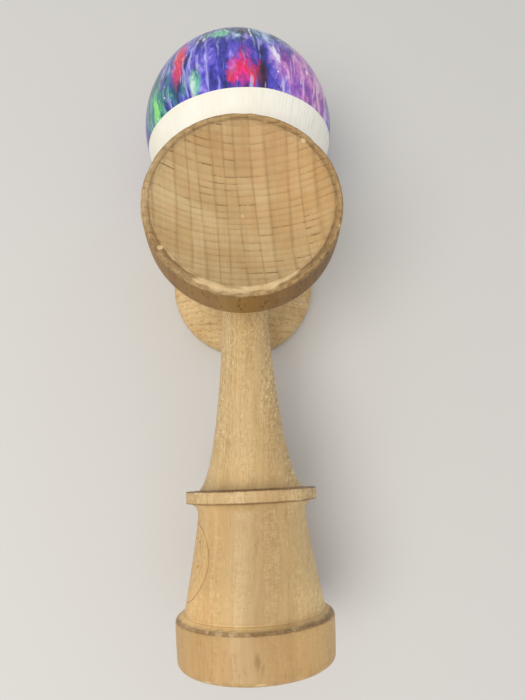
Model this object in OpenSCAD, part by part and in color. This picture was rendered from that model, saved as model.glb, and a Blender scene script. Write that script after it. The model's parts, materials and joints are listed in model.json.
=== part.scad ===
// Cup and ball toy, turned from wood: a handle with a spike and a cup in its base,
// a cross-piece with a big and a small cup, and a painted ball that sits on the spike.
// All sizes are in millimetres. The toy lies on the rim of its small cup, with the handle
// along Y, the ball at the +Y end and the big cup facing up.

/* [Ball] */
// Diameter of the ball, over its paint
ball_d = 60.4; // [56:0.1:64]
// Thickness of the paint on the ball
coat_t = 0.4; // [0.2:0.1:0.8]
// Distance of the paint line from the ball's centre, towards the hole
paint_line = 6.8; // [2:0.1:14]
// Lean of the paint line, in degrees
paint_lean = 2.2; // [-5:0.1:5]
// Diameter of the hole that takes the spike
ball_hole_d = 24.5; // [22:0.5:28]
// Bevel at the mouth of that hole
ball_bevel = 1.6; // [0.8:0.1:3]
// Diameter of the string hole at the far side of the ball
ball_string_d = 3.5; // [2.5:0.1:5]

/* [Big cup] */
// Diameter of the rim
big_rim_d = 49.7; // [46:0.1:52]
// Height of the rim over the handle's axis
big_h = 34.2; // [31:0.1:38]
// Height of the wall, from the rim to the widest place
big_wall_h = 10.5; // [8:0.1:12]
// Depth of the dish
big_dish_depth = 8; // [6:0.1:10]

/* [Small cup] */
// Diameter of the rim
small_rim_d = 47.6; // [44:0.1:50]
// Height of the rim under the handle's axis
small_h = 33; // [30:0.1:36]
// Height of the wall, from the rim to the widest place
small_wall_h = 6.1; // [5:0.1:9]
// Depth of the dish
small_dish_depth = 7.6; // [6:0.1:9.5]

/* [Cross-piece] */
// Width of a cup's rim, from its outside to the dish
rim_w = 2.25; // [1.9:0.05:4]
// Swell of a cup's wall at its widest place, over the radius of its rim
wall_swell = 0.5; // [0:0.1:1.5]
// Rounding where a cup's wall turns in to its flank
shoulder_r = 5; // [3:0.1:6]
// Diameter of the waist between the cups
waist_d = 25; // [21:0.5:28]
// Rounding of the edges at a cup's rim
lip_r = 0.8; // [0.4:0.05:0.9]
// Diameter of the string hole through the waist
string_d = 3; // [2:0.1:4]

/* [Handle] */
// Diameter of the taper where it enters the cross-piece
taper_low_d = 12.9; // [12:0.1:14]
// Diameter of the taper where it leaves the cross-piece
taper_high_d = 12.3; // [11:0.1:12.7]
// Length of the spike, from the cups' axis to its tip
spike_len = 55.5; // [45:0.5:60]
// Diameter of the spike at its rounded tip
spike_tip_d = 6.4; // [4:0.1:8]
// Diameter of the hole across the handle that hides the string's knot
knot_hole_d = 4; // [3:0.1:6]
// Length of the neck, from the cups' axis to the collar
neck_len = 69; // [60:0.5:80]
// Diameter of the neck where it meets the collar
neck_foot_d = 28.6; // [24:0.1:32]
// Height of the flare at the foot of the neck
neck_flare_h = 4.8; // [3:0.1:8]
// Diameter that the neck's curve heads for above that flare
neck_low_d = 18; // [15:0.1:21]
// Diameter of the collar
collar_d = 35.6; // [33:0.1:40]
// Thickness of the collar
collar_t = 3.1; // [2:0.1:5]
// Radius of the cove under the collar
cove_r = 2.75; // [1:0.05:3]
// Diameter of the grip under the cove
grip_top_d = 29.3; // [26:0.1:30]
// Diameter of the grip at its foot
grip_foot_d = 36.8; // [32:0.1:39]
// Length of the grip, from the collar to the base
grip_len = 27.1; // [20:0.1:40]
// Rounding of the collar's edges
collar_edge_r = 0.25; // [0.1:0.05:0.8]

/* [Base] */
// Diameter of the base at its upper edge
base_d = 41.5; // [40:0.1:46]
// Diameter of the base above its lower rounding
base_low_d = 40.7; // [40:0.1:46]
// Drop of the sloping shoulder from the grip to the base's edge
base_drop = 1; // [0.4:0.1:2]
// Height of the base under that edge
base_h = 11.1; // [9:0.1:16]
// Rounding of the upper edge
base_edge_r = 1.6; // [0.4:0.1:2.4]
// Rounding of the lower edge
base_round = 1.5; // [0.8:0.1:3]
// Width of the base's rim, from the lower rounding to the cup in the base
base_rim_w = 2.15; // [0.9:0.05:3]
// Depth of the cup in the base
base_dish_depth = 6.2; // [5:0.1:8]

/* [Fits] */
// Gap all round between the handle's taper and the cross-piece
taper_gap = 0.05; // [0.01:0.01:0.1]
// Gap between the ball and the cup that it rests against
ball_gap = 0.3; // [0.1:0.05:1]
// Gap between the ball and the surface that the toy lies on
table_gap = 0.05; // [0:0.01:0.5]
// Free length in the ball's hole, past the tip of the spike
tip_room = 6.5; // [5:0.5:8]
// Length of the taper that shows on each side of the cross-piece
taper_show = 1.5; // [0.5:0.1:4]

/* [Hidden] */

$fn = 160;
// Number of straight steps in an arc or a curve of an outline
arc_steps = 8;
curve_steps = 14;
// Slopes of the neck at its top and of the grip at its foot, outwards for each millimetre down
neck_top_slope = 0.04;
grip_foot_slope = 0.185;
// Shares of the neck's and the grip's lengths over which those slopes and the cove's hold
neck_top_pull = 0.22;
grip_foot_pull = 0.4;
grip_top_pull = 0.14;
// Spare length of a cutting shape past the wood that it cuts
spare = 1;

ball_r = ball_d / 2;
ball_hole_r = ball_hole_d / 2;
mouth_r = ball_hole_r + ball_bevel;
waist_r = waist_d / 2;

// A cup's sizes: rim radius, rim height, wall height, dish radius and dish depth
big_cup = [big_rim_d / 2, big_h, big_wall_h, big_rim_d / 2 - rim_w, big_dish_depth];
small_cup = [small_rim_d / 2, small_h, small_wall_h, small_rim_d / 2 - rim_w, small_dish_depth];
base_dish = base_low_d / 2 - base_round - base_rim_w;

// Taper of the handle in the cross-piece
taper_half = waist_r + taper_show;
taper_mid_r = (taper_low_d + taper_high_d) / 4;
taper_slope = (taper_low_d - taper_high_d) / (4 * taper_half);

// Places along the handle, counted from the cups' axis
collar_top = -neck_len;
collar_low = collar_top - collar_t;
grip_foot = collar_low - grip_len;
base_top = grip_foot - base_drop;
base_low = base_top - base_h;

// Radius and centre height of the sphere that hollows a dish
function dish_r(radius, depth) = (radius * radius + depth * depth) / (2 * depth);
function dish_rise(radius, depth) = dish_r(radius, depth) - depth;

// Points on an arc, on a curve with handles, and on the rounding of corner b between a and c
function arc(centre, r, from, to) = [
    for (i = [0:arc_steps])
        let (angle = from + (to - from) * i / arc_steps)
        centre + r * [cos(angle), sin(angle)]
];
function curve_at(p, t) = len(p) == 1
    ? p[0]
    : curve_at([for (i = [0:len(p) - 2]) p[i] * (1 - t) + p[i + 1] * t], t);
function curve(p) = [for (i = [0:curve_steps]) curve_at(p, i / curve_steps)];
function unit(v) = v / norm(v);
function heading(v) = atan2(v[1], v[0]);
function near_turn(a) = a > 180 ? a - 360 : a < -180 ? a + 360 : a;
function corner(a, b, c, r) =
    let (
        u = unit(a - b),
        v = unit(c - b),
        half = acos(u * v) / 2,
        centre = b + unit(u + v) * r / sin(half),
        start = heading(b + u * r / tan(half) - centre),
        end = heading(b + v * r / tan(half) - centre)
    )
    arc(centre, r, start, start + near_turn(end - start));

// Rounded inner lip of a dish, from the flat of the rim into the hollow
function lip(height, radius, depth) =
    let (
        rise = dish_rise(radius, depth),
        lip_at = sqrt(pow(dish_r(radius, depth) + lip_r, 2) - pow(rise + lip_r, 2))
    )
    arc([lip_at, height - lip_r], lip_r, 90, 90 + atan2(lip_at, rise + lip_r));

// Centre of the rounding between a cup's wall and its flank, and the flank's hollow arc,
// which meets that rounding and runs into the waist
function shoulder_at(cup) = [cup[0] + wall_swell - shoulder_r, cup[1] - cup[2]];
function flank_at(cup) =
    let (s = shoulder_at(cup), inner = waist_r - shoulder_r)
    (s * s - inner * inner) / (2 * (s[0] - inner));
function flank_turn(cup) =
    let (s = shoulder_at(cup))
    atan2(s[1], flank_at(cup) - s[0]);

// Outline of one cup, from the axis over the rim to the waist
function cup_outline(cup) =
    let (
        inner_lip = lip(cup[1], cup[3], cup[4]),
        last = inner_lip[arc_steps],
        turn = flank_turn(cup),
        wall_low = cup[1] - cup[2],
        wall_high = cup[1] - lip_r
    )
    concat(
        [[0, last[1]]],
        [for (i = [0:arc_steps]) inner_lip[arc_steps - i]],
        arc([cup[0] - lip_r, wall_high], lip_r, 90, 0),
        [for (i = [1:arc_steps]) [
            cup[0] + wall_swell * sin(90 * i / arc_steps),
            wall_high + (wall_low - wall_high) * i / arc_steps
        ]],
        arc(shoulder_at(cup), shoulder_r, 0, -turn),
        arc([flank_at(cup), 0], flank_at(cup) - waist_r, 180 - turn, 180)
    );

// The ball lies near the surface under the toy and rests against the cross-piece
ball_drop = small_h - table_gap - ball_r;
ball_reach = ball_r + ball_gap;
function shoulder_seat(cup, drop) =
    let (s = shoulder_at(cup))
    s[0] + sqrt(pow(ball_reach + shoulder_r, 2) - pow(s[1] - drop, 2));
function flank_seat(cup) =
    let (room = flank_at(cup) - waist_r - ball_reach)
    room > abs(ball_drop) ? flank_at(cup) - sqrt(room * room - ball_drop * ball_drop) : 0;
ball_y = max(
    shoulder_seat(small_cup, ball_drop), shoulder_seat(big_cup, -ball_drop),
    flank_seat(small_cup), flank_seat(big_cup)
);
hole_end = spike_len + tip_room - ball_y;

// Outline of the handle from the axis in its base, up its outside and over the spike
function handle_outline() =
    let (
        base_lip = [for (p = lip(-base_low, base_dish, base_dish_depth)) [p[0], -p[1]]],
        base_foot = [base_low_d / 2, base_low],
        base_edge = [base_d / 2, base_top],
        grip_end = [grip_foot_d / 2, grip_foot],
        cove = min(cove_r, (collar_d - grip_top_d) / 2 - 2 * collar_edge_r),
        collar_under = [grip_top_d / 2 + cove, collar_low],
        grip_start = [grip_top_d / 2, collar_low - cove],
        grip_run = grip_start[1] - grip_foot,
        collar_edge_low = [collar_d / 2, collar_low],
        collar_edge_top = [collar_d / 2, collar_top],
        neck_foot = [neck_foot_d / 2, collar_top],
        taper_low = [taper_low_d / 2, -taper_half],
        taper_high = [taper_high_d / 2, taper_half],
        neck_run = taper_low[1] - collar_top,
        tip_r = spike_tip_d / 2,
        spike_mid = (taper_half + spike_len) / 2
    )
    concat(
        [[0, base_lip[arc_steps][1]]],
        [for (i = [0:arc_steps]) base_lip[arc_steps - i]],
        corner([0, base_low], base_foot, base_edge, base_round),
        corner(base_foot, base_edge, grip_end, base_edge_r),
        curve([
            grip_end,
            grip_end + [-grip_foot_slope, 1] * grip_run * grip_foot_pull,
            grip_start - [0, 1] * grip_run * grip_top_pull,
            grip_start
        ]),
        arc([collar_under[0], grip_start[1]], cove, 180, 90),
        corner(collar_under, collar_edge_low, collar_edge_top, collar_edge_r),
        corner(collar_edge_low, collar_edge_top, neck_foot, collar_edge_r),
        curve([
            neck_foot,
            [neck_low_d / 2, collar_top + neck_flare_h],
            taper_low + [neck_top_slope, -1] * neck_run * neck_top_pull,
            taper_low
        ]),
        curve([
            taper_high,
            [taper_high_d / 2, spike_mid],
            [tip_r, spike_mid],
            [tip_r, spike_len - tip_r]
        ]),
        arc([0, spike_len - tip_r], tip_r, 0, 90)
    );

// Turns a shape that is modelled along Z so that it lies along Y
module along_y() {
    rotate([-90, 0, 0]) children();
}

// Lays the toy down, with the middle of its length over the origin
module laid_down() {
    translate([0, -(base_low + ball_y + ball_r) / 2, small_h]) children();
}

// Puts the ball, modelled about its own centre with its hole facing down, in its place
module ball_place() {
    laid_down() translate([0, ball_y, -ball_drop]) along_y() children();
}

// Sphere that hollows a dish whose rim lies at the given height
module dish(height, radius, depth) {
    translate([0, 0, height + dish_rise(radius, depth)]) sphere(r = dish_r(radius, depth));
}

// Cut for a hole across the handle's axis
module cross_hole(d, length) {
    rotate([0, 90, 0]) cylinder(h = length, d = d, center = true);
}

// Cut for the ball's spike hole, with its bevelled mouth, and for its string hole
module ball_holes() {
    mouth_at = -sqrt(ball_r * ball_r - mouth_r * mouth_r);
    past_ball = ball_r + spare;
    rotate_extrude() polygon([
        [0, -past_ball],
        [mouth_r + mouth_at + past_ball, -past_ball],
        [ball_hole_r, mouth_at + ball_bevel],
        [ball_hole_r, hole_end],
        [ball_string_d / 2, hole_end],
        [ball_string_d / 2, past_ball],
        [0, past_ball]
    ]);
}

// Everything on the far side of the paint line from the hole
module past_paint_line() {
    reach = ball_r + spare;
    rotate([0, -paint_lean, 0]) translate([-reach, -reach, -paint_line])
        cube([2 * reach, 2 * reach, paint_line + reach]);
}

module coat() {
    difference() {
        sphere(r = ball_r);
        sphere(r = ball_r - coat_t);
        ball_holes();
    }
}

// One turned piece: spike, taper, neck, collar, grip and base with its cup
module handle() {
    color([0.80, 0.62, 0.41]) laid_down() difference() {
        along_y() rotate_extrude() polygon(handle_outline());
        along_y() mirror([0, 0, 1]) dish(-base_low, base_dish, base_dish_depth);
        cross_hole(knot_hole_d, 2 * taper_low_d);
    }
}

// One turned piece: both cups and the waist, bored for the handle and the string
module cup_crosspiece() {
    big_side = cup_outline(big_cup);
    small_side = cup_outline(small_cup);
    bore_half = big_rim_d / 2 + wall_swell + spare;
    color([0.76, 0.58, 0.37]) laid_down() difference() {
        rotate_extrude() polygon(concat(
            big_side,
            [for (i = [len(small_side) - 2:-1:0]) [small_side[i][0], -small_side[i][1]]]
        ));
        dish(big_h, big_cup[3], big_dish_depth);
        mirror([0, 0, 1]) dish(small_h, small_cup[3], small_dish_depth);
        along_y() cylinder(
            h = 2 * bore_half,
            r1 = taper_mid_r + taper_slope * bore_half + taper_gap,
            r2 = taper_mid_r - taper_slope * bore_half + taper_gap,
            center = true
        );
        cross_hole(string_d, 2 * bore_half);
    }
}

// Wood of the ball, under its paint
module ball() {
    color([0.83, 0.68, 0.47]) ball_place() difference() {
        sphere(r = ball_r - coat_t);
        ball_holes();
    }
}

// White paint around the mouth of the hole
module white_coat() {
    color([0.93, 0.91, 0.86]) ball_place() difference() {
        coat();
        past_paint_line();
    }
}

// Marbled paint over the rest of the ball
module marbled_coat() {
    color([0.33, 0.27, 0.58]) ball_place() intersection() {
        coat();
        past_paint_line();
    }
}

handle();
cup_crosspiece();
ball();
white_coat();
marbled_coat();
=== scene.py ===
import json
from math import atan2, cos, inf, pi, radians, sin, sqrt, tau

import bmesh
import bpy
import numpy as np
from mathutils import Matrix, Vector
from numpy.linalg import lstsq, norm


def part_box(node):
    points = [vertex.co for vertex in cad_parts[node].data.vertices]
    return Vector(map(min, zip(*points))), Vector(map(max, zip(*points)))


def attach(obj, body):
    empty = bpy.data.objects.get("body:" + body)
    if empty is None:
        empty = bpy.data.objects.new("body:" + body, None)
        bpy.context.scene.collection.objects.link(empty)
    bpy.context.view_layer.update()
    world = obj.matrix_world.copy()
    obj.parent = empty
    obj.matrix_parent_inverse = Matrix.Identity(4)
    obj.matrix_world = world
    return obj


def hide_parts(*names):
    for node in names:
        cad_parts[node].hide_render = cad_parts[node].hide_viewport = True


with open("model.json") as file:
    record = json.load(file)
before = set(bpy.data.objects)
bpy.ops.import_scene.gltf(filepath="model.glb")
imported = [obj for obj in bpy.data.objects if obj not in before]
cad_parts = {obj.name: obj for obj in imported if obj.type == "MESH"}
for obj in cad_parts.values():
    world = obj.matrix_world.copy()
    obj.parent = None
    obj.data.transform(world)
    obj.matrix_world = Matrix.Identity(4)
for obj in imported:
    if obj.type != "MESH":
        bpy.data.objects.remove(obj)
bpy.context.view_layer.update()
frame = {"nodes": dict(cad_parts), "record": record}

MM = 0.001
X, Y, Z = np.eye(3)
rng = np.random.default_rng(20)


# Places and sizes from the frame, in millimetres

def points_of(node):
    """All vertices of a CAD node."""
    mesh = frame["nodes"][node].data
    points = np.empty(len(mesh.vertices) * 3)
    mesh.vertices.foreach_get("co", points)
    return points.reshape(-1, 3) / MM


def box_of(node):
    low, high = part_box(node)
    return np.array(low) / MM, np.array(high) / MM


def sphere_centre(points):
    """Centre of the sphere that fits the points best."""
    rows = np.c_[2 * points, np.ones(len(points))]
    return lstsq(rows, (points ** 2).sum(1), rcond=None)[0][:3]


handle_low, handle_high = box_of("handle")
cup_low, cup_high = box_of("cup_crosspiece")
AXIS_Z = (handle_low[2] + handle_high[2]) / 2
CUP_Y = (cup_low[1] + cup_high[1]) / 2
# where the axes of the handle and of the cross-piece cross
CROSSING = np.array([0.0, CUP_Y, AXIS_Z])

white_points, marbled_points = points_of("white_coat"), points_of("marbled_coat")
BALL_AT = sphere_centre(np.vstack([marbled_points, white_points]))
coat_reach = norm(marbled_points - BALL_AT, axis=1)
BALL_R = coat_reach.max()
CORE_R = coat_reach.min()


# Outlines of turned pieces, as points of (distance from the axis, place along it)

ON_AXIS = 0.05  # a point nearer than this counts as on the axis
LEAST_GAP = 0.06  # points nearer than this to the one before are left out
CORNER = radians(30)  # a sharper turn than this stays a corner
LONGER_SIDE = 2.5  # a side so many times longer than the next gives the direction alone
BEND_STEP = 0.3  # turn between two made points on a bend, in radians
TINY = 1e-9
EDGE_REACH = 0.7  # how far from an edge its wear reaches
FULL_EDGE = 0.9  # turn that makes a full edge or corner, in radians


def outline(node, at, along, out):
    """Half outline of a turned CAD node, in the plane through its axis and the direction out."""
    bm = bmesh.new()
    bm.from_mesh(frame["nodes"][node].data)
    bmesh.ops.remove_doubles(bm, verts=bm.verts, dist=1e-6)
    cut = bmesh.ops.bisect_plane(
        bm, geom=bm.verts[:] + bm.edges[:] + bm.faces[:], dist=1e-8,
        plane_co=Vector(at * MM), plane_no=Vector(np.cross(along, out)))["geom_cut"]
    links = {}
    for part in cut:
        if isinstance(part, bmesh.types.BMEdge):
            a, b = part.verts
            links.setdefault(a, []).append(b)
            links.setdefault(b, []).append(a)
    flat = {v: ((np.array(v.co) / MM - at) @ out, (np.array(v.co) / MM - at) @ along) for v in links}
    on_axis = [v for v in links if abs(flat[v][0]) < ON_AXIS]
    if on_axis:
        start = min(on_axis, key=lambda v: flat[v][1])
        here = max(links[start], key=lambda v: flat[v][0])
    else:
        start = max(links, key=lambda v: flat[v][0])
        here = max(links[start], key=lambda v: flat[v][1])
    walk, last = [start], start
    while here is not start:
        walk.append(here)
        if on_axis and flat[here][0] < ON_AXIS:
            break
        here, last = next(v for v in links[here] if v is not last), here
    points = np.array([flat[v] for v in walk])
    if on_axis:
        points[0, 0] = points[-1, 0] = 0.0
    bm.free()
    return points


def turn_between(a, b):
    """Angle from one step of an outline to the next, outer edges positive, in radians."""
    return atan2(a[0] * b[1] - a[1] * b[0], a @ b)


def smoothed(points, closed, finest, coarsest):
    """Points along a smooth curve through an outline, closer together where it bends. An open
    outline starts and ends on the axis, square to it."""
    keep = [points[0]]
    for point in points[1:]:
        if norm(point - keep[-1]) > LEAST_GAP:
            keep.append(point)
    keep[-1] = points[-1]
    p = np.array(keep)
    if closed:
        p = np.vstack([p, p[:1]])
    step = np.diff(p, axis=0)
    length = norm(step, axis=1)
    head = step / length[:, None]
    n = len(p)
    arriving, leaving, bend = np.empty((n, 2)), np.empty((n, 2)), np.zeros(n)
    for i in range(n):
        old, new = (i - 1) % (n - 1), i % (n - 1)
        if not closed and i in (0, n - 1):
            end = head[0] if i == 0 else head[-1]
            arriving[i] = leaving[i] = [np.sign(end[0]), 0.0]
            continue
        turn = turn_between(head[old], head[new])
        bend[i] = turn / (0.5 * (length[old] + length[new]))
        if abs(turn) > CORNER:
            arriving[i], leaving[i] = head[old], head[new]
            continue
        if length[old] > LONGER_SIDE * length[new]:
            mean = head[old]
        elif length[new] > LONGER_SIDE * length[old]:
            mean = head[new]
        else:
            mean = head[old] * length[new] + head[new] * length[old]
        arriving[i] = leaving[i] = mean / norm(mean)
    made = []
    for i in range(n - 1):
        sharpest = max(abs(bend[i]), abs(bend[i + 1]), 1e-6)
        pace = np.clip(BEND_STEP / sharpest, finest, coarsest)
        count = max(1, int(round(length[i] / pace)))
        for k in range(count):
            t = k / count
            share = [2 * t ** 3 - 3 * t ** 2 + 1, t ** 3 - 2 * t ** 2 + t,
                     3 * t ** 2 - 2 * t ** 3, t ** 3 - t ** 2]
            made.append(share[0] * p[i] + share[1] * length[i] * leaving[i]
                        + share[2] * p[i + 1] + share[3] * length[i] * arriving[i + 1])
    if not closed:
        made.append(p[-1])
    return np.array(made)


def turns(points, closed):
    """How far an outline turns at each of its points, outer edges positive, in radians."""
    n = len(points)
    turn = np.zeros(n)
    for i in range(n):
        old, new = ((i - 1) % n, (i + 1) % n) if closed else (max(i - 1, 0), min(i + 1, n - 1))
        a, b = points[i] - points[old], points[new] - points[i]
        if norm(a) > TINY and norm(b) > TINY:
            turn[i] = turn_between(a, b)
    return turn


def edge_marks(points, closed):
    """How much each point of an outline lies on an outer edge, and how much in a corner."""
    turn = turns(points, closed)
    gap = norm(points[:, None] - points[None], axis=2)
    near = np.exp(-(gap / EDGE_REACH) ** 2)
    return [np.clip(near @ np.clip(sign * turn, 0, None) / FULL_EDGE, 0, 1) for sign in (1, -1)]


# Turned pieces

class Turned:
    """A grid of points turned about an axis, which can be worn before it becomes a piece. The
    materials read its marks: edges, corners, clean chips, grime, figure, tone and warmth; the tone
    holds painted light and shade."""

    def __init__(self, points, closed, at, along, first, segments):
        self.at, self.along, self.closed = at, along, closed
        self.first, self.second = first, np.cross(along, first)
        self.angle = np.arange(segments) * tau / segments
        self.r = np.repeat(points[:, :1], segments, axis=1)
        self.s = np.repeat(points[:, 1:], segments, axis=1)
        edge, corner = edge_marks(points, closed)
        start = {"edge": edge[:, None], "corner": corner[:, None], "chip": 0.0, "grime": 0.0,
                 "figure": 0.5, "tone": 0.0, "warm": 0.0}
        self.marks = {name: np.zeros(self.r.shape) + value for name, value in start.items()}

    def across(self):
        """Where the points lie along the two directions across the axis."""
        return self.r * np.cos(self.angle), self.r * np.sin(self.angle)

    def from_angle(self, angle):
        """Signed angle of each segment from the given one."""
        return (self.angle - angle + pi) % tau - pi

    def bite(self, angle, r, s, along_rim, across, depth, way, clean=0.0, dirty=0.0):
        """Takes a chip or dent out, centred on a place of the outline, pushed the given way. Rows
        up to 1 mm beyond its reach count, because earlier dents may have moved points."""
        rows = np.hypot(self.r[:, 0] - r, self.s[:, 0] - s) < across + 1.0
        away = ((self.from_angle(angle)[None, :] * r / along_rim) ** 2
                + ((self.r[rows] - r) ** 2 + (self.s[rows] - s) ** 2) / across ** 2)
        fall = np.clip(1 - away, 0, None) ** 1.3
        way = np.array(way) / norm(way)
        self.r[rows] += way[0] * depth * fall
        self.s[rows] += way[1] * depth * fall
        for mark, strength in (("chip", clean), ("grime", dirty)):
            shown = np.clip(fall * 1.6, 0, 1) * strength
            self.marks[mark][rows] = np.maximum(self.marks[mark][rows], shown)

    def soil(self, r, s, width, strength, clean):
        """A dark line all round, at a place of the outline; clean lists (angle, half width) of gaps."""
        near = strength * np.exp(-((self.r - r) ** 2 + (self.s - s) ** 2) / width ** 2)
        for angle, half in clean:
            near = near * (1 - np.exp(-(self.from_angle(angle) / half) ** 4))[None, :]
        self.marks["grime"] = np.maximum(self.marks["grime"], near)

    def piece(self, name):
        """The grid as an object; an open outline's ends close to one point each on the axis."""
        rings, segments = self.r.shape
        spoke = np.cos(self.angle)[:, None] * self.first + np.sin(self.angle)[:, None] * self.second
        points = self.at + self.s[..., None] * self.along + self.r[..., None] * spoke[None]
        grid = np.arange(rings * segments).reshape(rings, segments)
        if self.closed:
            used = grid.ravel()
            lower, upper = grid, np.roll(grid, -1, axis=0)
            fans = np.empty((0, 3), int)
        else:
            low, high = grid[0, 0], grid[-1, 0]
            used = np.r_[low, grid[1:-1].ravel(), high]
            lower, upper = grid[1:-2], grid[2:-1]
            fans = np.vstack([np.c_[np.full(segments, low), np.roll(grid[1], -1), grid[1]],
                              np.c_[np.full(segments, high), grid[-2], np.roll(grid[-2], -1)]])
        quads = np.stack([lower, np.roll(lower, -1, axis=1), np.roll(upper, -1, axis=1), upper], axis=-1)
        place = np.zeros(grid.size, int)
        place[used] = np.arange(len(used))
        faces = place[quads.reshape(-1, 4)].tolist() + place[fans].tolist()
        mesh = bpy.data.meshes.new(name)
        mesh.from_pydata((points.reshape(-1, 3)[used] * MM).tolist(), [], faces)
        for key, value in self.marks.items():
            layer = mesh.attributes.new(key, "FLOAT", "POINT")
            layer.data.foreach_set("value", value.ravel()[used].astype(np.float32))
        return add_object(name, mesh)


# Objects

SHARP_EDGE = radians(38)


def add_object(name, data):
    obj = bpy.data.objects.new(name, data)
    bpy.context.scene.collection.objects.link(obj)
    return obj


def finished(obj, material):
    """Turns the faces outwards, smooths all but sharp edges and gives the piece its material."""
    bm = bmesh.new()
    bm.from_mesh(obj.data)
    bmesh.ops.recalc_face_normals(bm, faces=bm.faces)
    for face in bm.faces:
        face.smooth = True
    for edge in bm.edges:
        edge.smooth = len(edge.link_faces) == 2 and edge.calc_face_angle(0.0) < SHARP_EDGE
    bm.to_mesh(obj.data)
    bm.free()
    obj.data.materials.clear()
    obj.data.materials.append(material)
    return obj


def drill(obj, cutters):
    """Cuts holes into a piece and removes the cutters."""
    for cutter in cutters:
        cut = obj.modifiers.new("hole", "BOOLEAN")
        cut.operation, cut.solver, cut.object = "DIFFERENCE", "EXACT", cutter
    shown = obj.evaluated_get(bpy.context.evaluated_depsgraph_get())
    mesh = bpy.data.meshes.new_from_object(shown)
    obj.modifiers.clear()
    old, obj.data = obj.data, mesh
    bpy.data.meshes.remove(old)
    for cutter in cutters:
        bpy.data.meshes.remove(cutter.data)


def plug(name, along, first, low_r, high_r, half_length, segments=96):
    """A closed round cutter through the crossing of the axes. It is turned by half a segment, so that
    its corners don't meet those of the piece that it cuts."""
    half = pi / segments
    first = first * cos(half) + np.cross(along, first) * sin(half)
    points = np.array([[0, -half_length], [low_r, -half_length], [high_r, half_length], [0, half_length]])
    return Turned(points, False, CROSSING, along, first, segments).piece(name)


# Node materials, written as expressions; colours are sRGB bytes

def srgb(r, g, b):
    """A colour in sRGB bytes as linear RGBA."""
    def linear(byte):
        c = byte / 255
        return c / 12.92 if c <= 0.04045 else ((c + 0.055) / 1.055) ** 2.4
    return (linear(r), linear(g), linear(b), 1.0)


def operator(kind, flipped=False):
    """A method of Wire that adds a Math node of the given kind."""
    def method(self, *others):
        values = (*others, self) if flipped else (self, *others)
        return self.shader.math(kind, *values)
    return method


class Wire:
    """An output of a node; arithmetic on it adds Math nodes."""

    __add__ = operator("ADD")
    __radd__ = operator("ADD", flipped=True)
    __sub__ = operator("SUBTRACT")
    __rsub__ = operator("SUBTRACT", flipped=True)
    __mul__ = operator("MULTIPLY")
    __truediv__ = operator("DIVIDE")
    __abs__ = operator("ABSOLUTE")
    fract = operator("FRACT")
    floor = operator("FLOOR")

    def __init__(self, shader, socket):
        self.shader, self.socket = shader, socket

    def clamp(self):
        return self.shader.math("ADD", self, 0.0, clamp=True)


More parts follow.
